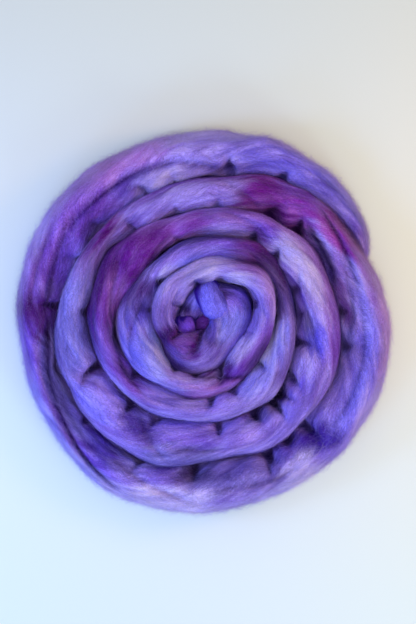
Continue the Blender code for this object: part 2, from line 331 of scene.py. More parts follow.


# how far lengthwise folds and terraces sink the crown, and how much painted shade they get
def foldsAt(angleDeg, across):
    depth = np.zeros(np.broadcast(angleDeg, across).shape)
    foldShade = np.zeros(depth.shape)
    half = fold["endDeg"] / 2
    inside, outside = fold["width"]
    for startDeg, endDeg, acrossStart, acrossEnd, depthMm in folds:
        fade = within(angleDeg, startDeg, endDeg, half)
        share = np.clip((angleDeg - startDeg) / (endDeg - startDeg), 0, 1)
        away = across - acrossStart - (acrossEnd - acrossStart) * share
        away = away / np.where(away < 0, inside, outside)
        depth = np.maximum(depth, depthMm * mm * fade * np.exp(-fold["fall"] * np.abs(away)))
        # painted shade along the fold's groove
        dark = min(depthMm / fold["darkDepthMm"], 1.0) * fade
        foldShade = np.maximum(foldShade, dark * np.exp(-((away / fold["darkWidth"]) ** 2)))
    for startDeg, endDeg, edge, dropMm in terraces:
        low = within(angleDeg, startDeg, endDeg, half) * (1 - past(across, edge, fold["terraceEdge"]))
        depth = depth + dropMm * mm * low
        foldShade = 1 - (1 - foldShade) * (1 - fold["terraceDark"] * dropMm * low)
    return depth, foldShade


# painted shade: how far a place lies in shade between the turns and in creases, from 0 in full light to 1
def paintedShadeAt(angleDeg, across, rise, pitShade, foldShade):
    toOutside = smooth(across, *paintedShading["outside"])
    start, end = (share + more * toOutside for share, more in paintedShading["height"])
    reached = smooth(rise, start, end)
    openSide = (1 - smooth(angleDeg, *paintedShading["rimEndDeg"])) * smooth(across, *paintedShading["rim"])
    reached = np.maximum(reached, openSide * smooth(rise, 0.0, paintedShading["rimHeight"]))
    return 1 - reached * (1 - paintedShading["pitShade"] * pitShade) * (1 - paintedShading["fold"] * foldShade)


# the strand's surface at winding angles and section angles, 90 being the crown: radius, height,
# share of the width and how much painted shade it gets
def sectionAt(angleDeg, sectionDeg):
    inner, outer = facesOfStrand(angleDeg)
    along = alongAt(angleDeg)
    height = readTable(winding["crownMm"], winding["crownStepDeg"], angleDeg) * mm
    for wavelengthMm, startDeg, heightMm in strand["crownWaves"]:
        phase = math.tau * along / (wavelengthMm * mm) + math.radians(startDeg)
        height = height + heightMm * mm * np.sin(phase)
    outerEnd = roundEnd(along, winding["outerEndLength"])
    innerEnd = roundEnd(strandLength - along, winding["innerEndLength"])
    outer = inner + (outer - inner) * outerEnd
    middle = (inner + outer) / 2
    width = (outer - inner) * innerEnd
    raised = smooth(along, 0.0, winding["outerEndDrop"])
    height = height * (winding["endLowest"] + (1 - winding["endLowest"]) * np.minimum(raised, innerEnd))

    cosine, sine = np.cos(np.radians(sectionDeg)), np.sin(np.radians(sectionDeg))
    power = 2.0 / strand["squareness"]
    sideways = np.sign(cosine) * np.abs(cosine) ** power
    upward = np.sign(sine) * np.abs(sine) ** power
    across = (1 + sideways) / 2
    footRise = -math.sin(math.radians(strand["footDeg"])) ** power
    rise = np.clip((upward - footRise) / (1 - footRise), 0, 1)
    shoulder = smooth(rise, *strand["shoulder"])

    ends = np.minimum(outerEnd, innerEnd)
    twist = strand["twistGrooves"] * (np.radians(sectionDeg) - math.tau * along / strand["twistPitch"])
    sunkGroove = strand["twistDepth"] * (0.5 + 0.5 * np.cos(twist)) * ends * shoulder
    pressedIn, sunk, pitShade = creasesAt(angleDeg, across, middle, width)
    foldSunk, foldShade = foldsAt(angleDeg, across)
    relief = layers(strand["relief"], along, fibreTurn(along, sectionDeg) % 1.0, seeds["relief"])
    fade = smooth(rise, 0.0, strand["reliefFrom"]) * np.clip(ends, strand["reliefAtEnds"], 1)
    proud = (relief - sunkGroove) * fade
    lean = strand["lean"] * width * rise**2 * (1 - sideways**2)
    radius = middle + sideways * width / 2 + lean + cosine * proud + pressedIn * shoulder
    sink = (sunk * strand["creaseSink"] + foldSunk * ends) * shoulder
    up = height * rise + np.maximum(sine, 0) * proud - sink
    # the share of painted shade that darkens the dye colours here
    paintedShade = paintedShadeAt(angleDeg, across, rise, pitShade * shoulder, foldShade * shoulder)
    return np.maximum(radius, strand["leastRadius"]), np.maximum(up, 0.0), across, paintedShade


def outlineMiddle():
    angles = np.linspace(winding["outerEndDeg"], *winding["rim"])
    outer = facesOfStrand(angles)[1] - strand["pressed"]
    x, y = outer * np.cos(np.radians(angles)), outer * np.sin(np.radians(angles))
    return (x.min() + x.max()) / 2, (y.min() + y.max()) / 2


middleX, middleY = outlineMiddle()


# points of the surface in the frame, lifted off it by a distance
def strandPoints(angleDeg, sectionDeg, lift=0.0):
    aheadDeg, lowest = 2.0, 0.1 * mm
    radius, up, across, paintedShade = sectionAt(angleDeg, sectionDeg)
    if np.any(lift):
        aheadRadius, aheadUp = sectionAt(angleDeg, sectionDeg + aheadDeg)[:2]
        outR, outUp = aheadUp - up, radius - aheadRadius
        size = np.maximum(np.hypot(outR, outUp), tiny)
        radius = radius + lift * outR / size
        up = np.maximum(up + lift * outUp / size, lowest)
    turn = np.radians(angleDeg)
    points = np.stack([radius * np.cos(turn) - middleX, radius * np.sin(turn) - middleY, up], axis=-1)
    return points, across, paintedShade


dyes = {  # as they look in even light, red, green and blue out of 255
    "periwinkle": (118, 108, 238),
    "cornflower": (134, 134, 246),
    "lavender": (164, 144, 244),
    "pale": (198, 186, 254),
    "orchid": (168, 116, 224),
    "violet": (112, 66, 206),
    "bluebell": (92, 76, 222),
    "indigo": (56, 24, 150),
    # a painted shadow colour for valleys and pits, not one of the wool's dyes
    "paintedShadowInk": (32, 4, 88),
    "plum": (72, 6, 116),
    "magenta": (128, 24, 168),
    "wine": (98, 8, 136),
    "amethyst": (118, 56, 188),
    "ash": (110, 96, 186),
    "rose": (184, 104, 196),
    "mauve": (144, 96, 202),
    "heather": (120, 90, 190),
    "slate": (118, 112, 214),
}

# the dyer's pours, with painted shade and painted light among them, later ones over earlier ones:
# start and end degrees along the strand, from and to across it with 0 at the inner side, dye, strength.
# Rows of the ink colour, and many rows of indigo along the inner and outer edges of the turns, are
# painted shade in valleys and pits; some rows of pale are painted light
poursAndPaintedLight = (
    # the outermost turn
    (19, 34, 0, 1, "heather", 0.7), (28, 50, 0, 1, "bluebell", 0.7),
    (34, 82, 0.3, 0.95, "periwinkle", 0.6), (44, 76, 0, 0.5, "bluebell", 0.7),
    (44, 66, 0, 0.4, "periwinkle", 0.6), (78, 100, 0.25, 1, "lavender", 0.6),
    (87, 117, 0, 0.45, "lavender", 0.9), (90, 110, 0.45, 1, "lavender", 0.75),
    (104, 172, 0.5, 1, "orchid", 0.75), (112, 128, 0.5, 0.95, "rose", 0.5),
    (98, 115, 0, 0.3, "pale", 0.5), (128, 160, 0.05, 0.85, "amethyst", 0.6),
    (138, 172, 0.8, 1, "lavender", 0.7), (160, 176, 0, 1, "amethyst", 0.7),
    (174, 188, 0, 1, "plum", 0.95), (183, 240, 0.5, 1, "violet", 0.8),
    (200, 239, 0.75, 1, "cornflower", 0.9), (198, 222, 0.15, 0.5, "slate", 0.6),
    (224, 236, 0, 0.5, "indigo", 0.7), (224, 236, 0, 0.45, "indigo", 0.5),
    (237, 255, 0.75, 1, "pale", 0.5), (236, 247, 0, 0.5, "ash", 0.8), (247, 272, 0.45, 1, "pale", 1),
    (248, 258, 0, 0.2, "indigo", 0.7), (258, 270, 0, 0.3, "paintedShadowInk", 0.8),
    (268, 298, 0.15, 0.75, "ash", 0.8), (270, 307, 0.75, 1, "lavender", 0.8),
    (270, 284, 0, 0.3, "indigo", 0.5), (294, 306, 0, 0.28, "indigo", 0.8),
    (303, 318, 0.05, 0.75, "indigo", 1), (294, 308, 0.5, 1, "pale", 0.8),
    (317, 372, 0.1, 0.75, "periwinkle", 0.85), (322, 366, 0.75, 1, "lavender", 0.7),
    (318, 345, 0, 0.3, "heather", 0.6), (344, 352, 0, 0.5, "indigo", 0.4),
    (340, 366, 0.8, 1, "rose", 0.5), (356, 381, 0.25, 0.75, "lavender", 0.7),
    (357, 378, 0, 0.3, "wine", 0.7), (366, 411, 0.75, 1, "magenta", 0.6),
    (384, 404, 0, 0.25, "plum", 0.8), (384, 412, 0.5, 1, "magenta", 0.7),
    # the second turn
    (400, 434, 0, 1, "magenta", 0.85), (388, 402, 0, 0.28, "paintedShadowInk", 0.6),
    (404, 420, 0, 0.28, "plum", 0.8), (386, 412, 0.45, 1, "magenta", 0.9),
    (402, 424, 0.75, 1, "violet", 0.7), (424, 448, 0.6, 1, "wine", 0.8),
    (434, 490, 0, 0.85, "lavender", 0.85), (420, 438, 0.2, 0.8, "wine", 0.6),
    (438, 492, 0.82, 1, "amethyst", 0.7), (450, 471, 0.3, 0.8, "pale", 0.3),
    (439, 488, 0, 1, "mauve", 0.25), (488, 515, 0, 1, "mauve", 0.8), (494, 514, 0.45, 1, "wine", 0.95),
    (512, 524, 0, 1, "heather", 0.8), (522, 562, 0.3, 0.8, "slate", 0.9),
    (522, 550, 0, 0.5, "ash", 0.7), (508, 583, 0.74, 1, "ash", 0.8), (536, 557, 0, 0.3, "indigo", 0.5),
    (556, 569, 0, 0.25, "plum", 0.7), (544, 582, 0.78, 1, "indigo", 0.35),
    (566, 585, 0.45, 0.8, "periwinkle", 0.85), (583, 594, 0, 0.2, "paintedShadowInk", 0.6),
    (589, 605, 0.15, 0.55, "indigo", 0.9), (604, 636, 0.45, 1, "ash", 0.95),
    (631, 680, 0.1, 1, "lavender", 0.5), (636, 665, 0.2, 0.8, "mauve", 0.35),
    (652, 664, 0, 0.3, "paintedShadowInk", 0.9), (655, 689, 0.2, 0.9, "bluebell", 0.5),
    (664, 680, 0, 0.3, "paintedShadowInk", 0.95), (678, 705, 0.6, 1, "heather", 0.7),
    (688, 704, 0, 0.5, "lavender", 0.8),
    # the third turn
    (702, 718, 0.15, 1, "bluebell", 0.85), (716, 730, 0.2, 0.85, "lavender", 0.8),
    (729, 773, 0.2, 0.8, "pale", 0.85), (700, 736, 0.7, 1, "amethyst", 0.8),
    (728, 800, 0.78, 1, "mauve", 0.8), (768, 790, 0.05, 0.8, "violet", 0.8),
    (775, 786, 0, 0.5, "plum", 0.6), (771, 804, 0.6, 1, "amethyst", 0.8),
    (786, 821, 0, 0.8, "mauve", 0.6), (811, 835, 0, 1, "magenta", 0.6),
    (784, 818, 0, 0.3, "lavender", 0.7), (830, 904, 0, 1, "magenta", 0.75),
    (834, 872, 0, 1, "wine", 0.85), (816, 847, 0, 0.25, "orchid", 0.6),
    (818, 850, 0.75, 1, "orchid", 0.5), (864, 899, 0.6, 1, "plum", 0.9),
    (898, 930, 0, 0.3, "plum", 0.7), (896, 956, 0.25, 0.75, "amethyst", 0.8),
    (892, 915, 0.75, 1, "plum", 0.8), (898, 927, 0.68, 1, "indigo", 0.6),
    (930, 947, 0, 0.5, "plum", 0.7), (936, 978, 0.75, 1, "lavender", 0.9),
    (952, 992, 0.05, 1, "lavender", 0.5), (1001, 1051, 0.2, 1, "lavender", 0.6),
    (1012, 1079, 0, 0.6, "cornflower", 0.7), (1036, 1079, 0.65, 1, "heather", 0.9),
    # the fourth turn
    (1074, 1104, 0, 1, "heather", 0.7), (1074, 1136, 0.65, 1, "indigo", 0.6),
    (1038, 1091, 0.45, 0.8, "heather", 0.5), (1020, 1077, 0.7, 1, "indigo", 0.3),
    (1040, 1074, 0, 0.28, "pale", 0.9), (1084, 1106, 0, 1, "indigo", 0.6),
    (1100, 1136, 0, 1, "plum", 0.85), (1096, 1122, 0, 0.5, "heather", 0.5),
    (1143, 1220, 0.74, 1, "indigo", 0.75), (1130, 1148, 0, 1, "wine", 0.8),
    (1158, 1184, 0.2, 0.5, "lavender", 0.7), (1175, 1217, 0, 0.35, "cornflower", 0.8),
    (1151, 1192, 0.78, 1, "paintedShadowInk", 0.5), (1218, 1228, 0, 0.3, "paintedShadowInk", 0.9),
    (1204, 1218, 0, 0.35, "pale", 0.7), (1223, 1252, 0.65, 1, "plum", 0.6),
    (1228, 1255, 0.25, 1, "plum", 0.55), (1228, 1244, 0.05, 0.75, "plum", 0.7),
    (1249, 1269, 0.15, 0.8, "indigo", 0.8), (1276, 1315, 0, 0.9, "cornflower", 0.9),
    (1290, 1316, 0, 0.3, "pale", 0.7), (1296, 1315, 0.4, 0.85, "pale", 0.6),
    (1265, 1303, 0.5, 0.8, "bluebell", 0.6), (1272, 1314, 0.75, 1, "bluebell", 0.6),
    (1315, 1360, 0.1, 0.55, "mauve", 0.4), (1334, 1373, 0.5, 1, "rose", 0.5),
    (1335, 1362, 0, 0.25, "plum", 1), (1361, 1377, 0.1, 0.76, "plum", 0.9),
    (1380, 1412, 0, 0.5, "pale", 0.6), (1371, 1439, 0.4, 1, "amethyst", 0.85),
    (1385, 1421, 0.6, 1, "paintedShadowInk", 0.7),
    # the fifth turn and the inner end
    (1446, 1489, 0.4, 1, "orchid", 0.6), (1478, 1503, 0, 0.55, "pale", 0.9),
    (1476, 1502, 0.4, 1, "amethyst", 0.8), (1514, 1566, 0.05, 1, "pale", 0.95),
    (1530, 1567, 0, 0.3, "indigo", 1), (1552, 1593, 0, 1, "lavender", 0.7),
    (1599, 1661, 0.35, 1, "heather", 1), (1633, 1655, 0.1, 1, "plum", 0.95),
    (1638, 1656, 0.25, 0.8, "paintedShadowInk", 0.6), (1650, 1700, 0, 0.65, "wine", 0.75),
    (1656, 1692, 0.65, 1, "indigo", 0.7), (1654, 1685, 0.55, 0.95, "indigo", 0.6),
    (1690, 1742, 0.05, 1, "heather", 1), (1681, 1696, 0.1, 0.55, "plum", 1),
    (1699, 1803, 0, 0.65, "indigo", 0.6), (1742, 1809, 0.2, 0.85, "cornflower", 0.9),
    (1730, 1768, 0, 0.25, "bluebell", 0.8), (1785, 1851, 0.75, 1, "indigo", 0.6),
    (1847, 1882, 0.45, 1, "paintedShadowInk", 0.7), (1890, 1924, 0, 1, "cornflower", 0.9),
    (1843, 1882, 0.45, 1, "paintedShadowInk", 0.4), (1943, 1975, 0.45, 1, "paintedShadowInk", 1),
    (1921, 1959, 0.25, 1, "periwinkle", 0.9), (1950, 1974, 0.62, 1, "paintedShadowInk", 1),
    (1980, 2011, 0, 0.6, "indigo", 0.9),
)
bleed = {
    # streaks, patches and spots of dye: length along mm, how many round the section
    "streaks": (45, 40),
    "broad": (24, 9),
    "ground": (55, 5),
    "fine": (20, 60),
    "spots": (11, 16),
    "groundDyes": ("violet", "lavender"),  # under the pours
    "reach": (6.0 * mm, 4.2 * mm),  # how far streaks, and broad ones, carry their dye along
    "acrossReach": (0.098, 0.084),  # and across
    "tight": (70.0 * mm, 0.3),  # less far in turns tighter than this, down to this share
    "softAlong": (6.0 * mm, 0.35),  # how softly a pour ends, but at most this share of its length
    "softAcross": 0.13,
    "toneSpread": 0.14,
    "mottle": 0.16,
    "gain": (1.10, 1.02, 1.10),  # brightness in red, green and blue
    "frost": (0.09, 0.12, 0.11),  # share of undyed-looking tips: usual, and how streaks and spots vary it
    "frostLightness": (0.22, 1.3),  # dyes as light as this show it in full; most of all
    "rimPaintedHighlight": 0.26,  # and how much more show along the coil's rim, as a painted highlight
    "rimAcross": (0.74, 1.0),
    "frostDye": (216, 204, 250),
    "paintedShadeDye": (28, 3, 72),  # the painted shade colour deep between the turns
    "paintedShadeShare": 0.5,
    "paintedShadeDeepening": 1.8,  # painted shade shows the dyes richer, as where light goes through more wool
    "paintedShadeTint": (0.5, 0.3, 0.5),
}
luminance = np.array([0.21, 0.72, 0.07])


def linear(colour):
    share = np.asarray(colour, float) / 255.0
    return np.where(share <= 0.04045, share / 12.92, ((share + 0.055) / 1.055) ** 2.4)


frostDye = linear(bleed["frostDye"])


# the dye's colour at places on the strand, with painted shade and a painted highlight along the rim; shift
# moves a fibre's dye along from where it lies
def dyeAndPaintedLightAt(angleDeg, sectionDeg, across, paintedShade, shift=0.0):
    along = alongAt(angleDeg)
    turnRound = fibreTurn(along, sectionDeg) % 1.0
    streak, broad, ground, fine, spots = (
        lumps(along, turnRound, *bleed[kind], seeds[kind])
        for kind in ("streaks", "broad", "ground", "fine", "spots")
    )
    tightRadius, least = bleed["tight"]
    ease = np.clip(np.interp(angleDeg, angleGrid, middleGrid) / tightRadius, least, 1.0)
    byStreak, byBroad = bleed["reach"]
    place = along + ease * (shift + byStreak * streak + byBroad * broad)
    byStreak, byBroad = bleed["acrossReach"]
    side = across + byStreak * streak + byBroad * broad
    under, over = (linear(dyes[dyeAndPaintedLight]) for dyeAndPaintedLight in bleed["groundDyes"])
    colour = mix(under, over, (0.5 + 0.5 * ground)[..., None])
    (softAlong, softShare), softAcross = bleed["softAlong"], bleed["softAcross"]
    for startDeg, endDeg, low, high, dyeAndPaintedLight, strength in poursAndPaintedLight:
        start, end = alongAt(startDeg), alongAt(endDeg)
        cover = within(place, start, end, min(softAlong, softShare * (end - start)))
        if low > 0:  # a pour that starts or ends at the strand's side has no edge there
            cover = cover * past(side, low, softAcross)
        if high < 1:
            cover = cover * (1 - past(side, high, softAcross))
        colour = mix(colour, linear(dyes[dyeAndPaintedLight]), (cover * strength)[..., None])
    tone = (1 + bleed["toneSpread"] * fine + bleed["mottle"] * spots)[..., None]
    usual, byFine, bySpot = bleed["frost"]
    fullLightness, most = bleed["frostLightness"]
    lightness = np.clip(colour @ luminance / fullLightness, 0, most)
    # painted highlight: paler along the outer side of the outermost turn
    rim = (1 - smooth(angleDeg, *paintedShading["rimEndDeg"])) * smooth(across, *bleed["rimAcross"])
    frost = np.clip(usual + byFine * fine + bySpot * spots, 0, 1) * lightness
    frost = (frost + bleed["rimPaintedHighlight"] * rim)[..., None]
    # painted shade: a richer, darker copy of the dye, mixed with the shade colour
    richShadeColour = colour ** bleed["paintedShadeDeepening"] * np.array(bleed["paintedShadeTint"])
    paintedShadeColour = mix(richShadeColour, linear(bleed["paintedShadeDye"]), bleed["paintedShadeShare"])
    colour = mix(colour * tone * np.array(bleed["gain"]), frostDye, frost)
    # darken toward the painted shade colour by the share of shade
    return np.clip(mix(colour, paintedShadeColour, paintedShade[..., None]), 0, 1)


# a shader value that can be added to, taken from and multiplied like a number
class Socket:
    def __init__(self, tree, socket):
        self.tree = tree
        self.socket = socket

    def maths(self, operation, first, second):
        node = self.tree.nodes.new("ShaderNodeMath")
        node.operation = operation
        for place, value in enumerate((first, second)):
            plug(self.tree, value, node.inputs[place])
        return Socket(self.tree, node.outputs[0])

    def __add__(self, other):
        return self.maths("ADD", self, other)

    def __sub__(self, other):
        return self.maths("SUBTRACT", self, other)

    def __rsub__(self, other):
        return self.maths("SUBTRACT", other, self)

    def __mul__(self, other):
        return self.maths("MULTIPLY", self, other)

    __radd__ = __add__
    __rmul__ = __mul__


def plug(tree, value, into):
    if isinstance(value, Socket):
        tree.links.new(value.socket, into)
    else:
        into.default_value = value


class Finish:
    def __init__(self, name):
        self.material = bpy.data.materials.new(name)
        self.material.use_nodes = True
        self.tree = self.material.node_tree
        self.shader = self.tree.nodes["Principled BSDF"]

    # any shader node: its type, its settings, then what its sockets hold; out picks one of its outputs
    def node(self, kind, settings=None, sockets=None, out=0):
        node = self.tree.nodes.new("ShaderNode" + kind)
        for key, value in (settings or {}).items():
            setattr(node, key, value)
        for key, value in (sockets or {}).items():
            plug(self.tree, value, node.inputs[key])
        return Socket(self.tree, node.outputs[out])

    def feed(self, **sockets):
        for key, value in sockets.items():
            plug(self.tree, value, self.shader.inputs[key.replace("_", " ")])


wool = {
    "roughness": (0.86, 0.14),  # least, and how much the streaks add
    "shine": 0.03,  # how glossy the fibres are, 0.5 being usual
    "sheen": 0.03,
    "sheenRoughness": 0.45,
    "sheenTint": (0.60, 0.40, 1.0, 1.0),
    "sway": 0.010,  # metres that fibres wave from side to side
    # noises: how many to a metre along the fibres and across them, and detail
    "swayNoise": (30.0, 55.0, 2.0),
    "fineNoise": (110.0, 1000.0, 3.0),
    "hairNoise": (420.0, 2400.0, 2.0),
    "napNoise": (1200.0, 1800.0, 1.0),
    "noiseRoughness": 0.6,
    "fineTone": 0.52,
    "hairTone": 0.84,
    "napTone": 0.90,
    "frostDye": (0.66, 0.58, 0.96, 1.0),  # the paler fibres among the rest
    "frostShare": 1.9,
    "bumpDistance": 0.0010,
    "bumpStrength": 0.65,
    "hairHeight": 0.6,
}
noiseMiddle = 0.5  # noise lies evenly round this


def streakNoise(finish, place, look):
    along, across, detail = look
    stretch = {0: place, 1: (along, across, 1.0)}
    stretched = finish.node("VectorMath", {"operation": "MULTIPLY"}, stretch)
    sockets = {"Vector": stretched, "Scale": 1.0, "Detail": detail, "Roughness": wool["noiseRoughness"]}
    return finish.node("TexNoise", {"noise_dimensions": "2D"}, sockets)


def woolFinish(name, bodied):
    finish = Finish(name)
    # the colour attribute holds the dye with painted shade and a painted rim highlight
    dyeAndPaintedLight = finish.node("Attribute", {"attribute_name": "dyeAndPaintedLight"})
    place = finish.node("UVMap", {"uv_map": "fibreMap"})
    wave = streakNoise(finish, place, wool["swayNoise"])
    sway = finish.node("CombineXYZ", {}, {"Y": (wave - noiseMiddle) * wool["sway"]})
    waved = finish.node("VectorMath", {"operation": "ADD"}, {0: place, 1: sway})
    fine = streakNoise(finish, waved, wool["fineNoise"])
    hair = streakNoise(finish, waved, wool["hairNoise"])
    nap = streakNoise(finish, place, wool["napNoise"])
    tone = 1.0 + (fine - noiseMiddle) * wool["fineTone"] + (hair - noiseMiddle) * wool["hairTone"]
    tone = tone + (nap - noiseMiddle) * wool["napTone"]
    toned = finish.node("VectorMath", {"operation": "SCALE"}, {0: dyeAndPaintedLight, "Scale": tone})
    lightness = finish.node("RGBToBW", {}, {"Color": dyeAndPaintedLight})
    tips = (fine + hair - 1.0) * lightness * wool["frostShare"]
    frost = finish.node("Clamp", {}, {"Value": tips})
    mixed = {0: frost, 6: toned, 7: wool["frostDye"]}  # a colour mix's factor and its two colours
    colour = finish.node("Mix", {"data_type": "RGBA"}, mixed, 2)
    finish.feed(Base_Color=colour, Roughness=wool["roughness"][0] + fine * wool["roughness"][1])
    finish.feed(Sheen_Weight=wool["sheen"], Sheen_Roughness=wool["sheenRoughness"])
    finish.feed(Sheen_Tint=wool["sheenTint"], Specular_IOR_Level=wool["shine"])
    if bodied:
        sockets = {"Strength": wool["bumpStrength"], "Distance": wool["bumpDistance"]}
        sockets["Height"] = fine + hair * wool["hairHeight"]
        finish.feed(Normal=finish.node("Bump", {}, sockets))
    return finish.material


strandFinish = woolFinish("dyed wool strand", True)
fibreFinish = woolFinish("dyed wool fibres", False)
print("finishes made")


def addPiece(name, points, faces, colours, fibreMap, bakeMap, material):
    mesh = bpy.data.meshes.new(name)
    mesh.vertices.add(len(points))
    mesh.vertices.foreach_set("co", np.asarray(points, np.float32).ravel())
    counts = np.array([len(face) for face in faces])
    corners = np.concatenate([np.asarray(face).ravel() for face in faces])
    mesh.loops.add(len(corners))
    mesh.loops.foreach_set("vertex_index", corners.astype(np.int32))
    mesh.polygons.add(len(counts))
    starts = np.concatenate([[0], np.cumsum(counts)[:-1]])
    mesh.polygons.foreach_set("loop_start", starts.astype(np.int32))
    mesh.update(calc_edges=True)
    for mapName, coordinates in (("OFBake", bakeMap), ("fibreMap", fibreMap)):
        layer = mesh.uv_layers.new(name=mapName)
        layer.data.foreach_set("uv", np.asarray(coordinates, np.float32).ravel())
    # the dye colours, with painted shade and a painted rim highlight in them
    attribute = mesh.color_attributes.new("dyeAndPaintedLight", "FLOAT_COLOR", "POINT")
    rgba = np.concatenate([colours, np.ones((len(colours), 1))], axis=1)
    attribute.data.foreach_set("color", rgba.astype(np.float32).ravel())
    mesh.shade_smooth()
    mesh.validate()
    mesh.materials.append(material)
    piece = bpy.data.objects.new(name, mesh)
    scene.collection.objects.link(piece)
    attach(piece, "root")
    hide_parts("roving_coil")


def pairs(first, second):
    return np.stack(np.broadcast_arrays(first, second), axis=-1).reshape(-1, 2)


# rings of points joined into a closed tube with a point at each end; bakeRows cuts its unwrapping
# into rows
def sweepTube(name, rings, colours, ringLength, fibreAcross, bakeRows=1):
    edgeU, edgeV = 0.002, 0.01  # left free at the edges of a row
    tipCorners = np.array([[0.996, 0.992], [0.999, 0.992], [0.9975, 0.998]])  # small, in a corner
    sections, around = rings.shape[0] - 1, rings.shape[1]
    ring = np.arange(around)
    following = (ring + 1) % around
    first = np.arange(sections)[:, None] * around
    near, nearNext = first + ring, first + following
    quads = np.stack([near, nearNext, nearNext + around, near + around], axis=-1)
    row = (np.arange(sections) * bakeRows // sections)[:, None, None]
    perRow = sections // bakeRows
    step = np.arange(sections)[:, None, None] - row * perRow
    onward = np.array([0, 0, 1, 1])
    u, v = (step + onward) / perRow, (ring[None, :, None] + np.array([0, 1, 1, 0])) / around
    bakeU, bakeV = edgeU + (1 - 2 * edgeU) * u, (row + edgeV + (1 - 2 * edgeV) * v) / bakeRows
    fibreU = (step + row * perRow + onward) * ringLength
    fibreV = fibreAcross.reshape(-1)[quads]
    fibreV[:, -1, 1:3] += fibreAcross[0, -1] * 2 - fibreAcross[0, -2] - fibreAcross[0, 0]

    points, colours = rings.reshape(-1, 3), colours.reshape(-1, 3)
    faces, tips = list(quads.reshape(-1, 4)), []
    bakes, fibres = [pairs(bakeU, bakeV)], [pairs(fibreU, fibreV)]
    for end, ringStart, inward in ((0, 0, 1), (1, sections * around, -1)):
        tips.append(points[ringStart:ringStart + around].mean(axis=0))
        sides = pairs(ringStart + following, ringStart + ring)[:, ::inward]
        faces += list(np.concatenate([sides, np.full((around, 1), len(points) + end)], axis=1))
        bakes.append(np.tile(tipCorners, (around, 1)))
        fibres.append(np.tile(tipCorners * 0.01, (around, 1)))
    points = np.concatenate([points, np.array(tips)])
    colours = np.concatenate([colours, colours[[0, -1]]])
    addPiece(name, points, faces, colours, np.concatenate(fibres), np.concatenate(bakes), strandFinish)


def makeStrand():
    sections, around, foot = strand["sections"], strand["around"], strand["footDeg"]
    along = np.linspace(0, strandLength, sections + 1)
    beneath = (180 - 2 * foot) / 3
    sectionDegs = np.linspace(-foot, 180 + foot, around - 2)
    sectionDegs = np.concatenate([sectionDegs, [180 + foot + beneath, 180 + foot + 2 * beneath]])
    angles, degs = np.meshgrid(angleAt(along), sectionDegs, indexing="ij")
    points, across, paintedShade = strandPoints(angles, degs)
    slack = 0.01
    underneath = (degs > 180 + foot - slack) | (degs < slack - foot)
    points[..., 2] = np.where(underneath, 0.0, points[..., 2])
    colours = dyeAndPaintedLightAt(angles, degs, across, paintedShade)
    fibreAcross = fibreTurn(alongAt(angles), degs) * strand["roundLength"]
    sweepTube("roving_strand", points, colours, strandLength / sections, fibreAcross, strand["bakeRows"])


makeStrand()
print("strand swept, length", round(float(strandLength), 3))

# the strand's last inch, folded back over the middle as a wedge, the bed under it and a small curl
# path rows: x and y from the winding's middle, height of the crown, half width, half height, all mm
tufts = {
    "inner_wedge": {
        "path": (
            (-3, 25, 27, 6, 5), (-1.6, 21.5, 33, 9, 6.5), (0.8, 15, 35, 9.8, 7),
            (4, 8.4, 35, 9.6, 7), (6.6, 2, 33, 8, 6.5), (7, -3.4, 29.5, 5.2, 5),
            (6.2, -7.6, 25.5, 2, 2.5),
        ),
        "dyes": ("indigo", "periwinkle", "indigo"),  # at its start, further on, and as painted shade on its shaded side
    },
    "inner_bed": {
        "path": (
            (-15, -7, 12, 3, 6), (-10, -6, 17, 8, 10), (-3, -3, 20, 9, 12),
            (4, 0, 20, 8, 12), (9, 2, 14, 3, 6),
        ),
        "dyes": ("indigo", "amethyst", "paintedShadowInk"),
    },
    "inner_curl": {
        "path": (
            (-19, 0.8, 25, 2.6, 4), (-17.4, -2, 30.5, 5.8, 6.5), (-14, -5.2, 33, 7.2, 8),
            (-10.4, -7.8, 31, 6.2, 6.5), (-8.2, -9.4, 25, 2.6, 4),
        ),
        "dyes": ("indigo", "violet", "indigo"),
    },
}
tuft = {
    "sections": 60,
    "around": 40,
    "roundLength": 50.0 * mm,
    "relief": ((9, 7, 1.0), (14, 18, 0.5)),  # length along mm, how many round, height mm
    "ends": (0.02, 0.4),  # how long and how full they are
    "lowest": 0.2 * mm,
    "blend": (4, 14, 5),  # of the dyes: lumps along, lumps round, seed
    "secondDye": (1.6, 0.8),  # how fast it comes on along the tuft, and how softly
    "paintedShadeSide": (0.5, -0.75, -0.5),  # painted shade: by the blend, to the left and to the underside
    "paintedShadeDarkening": 0.5,
}


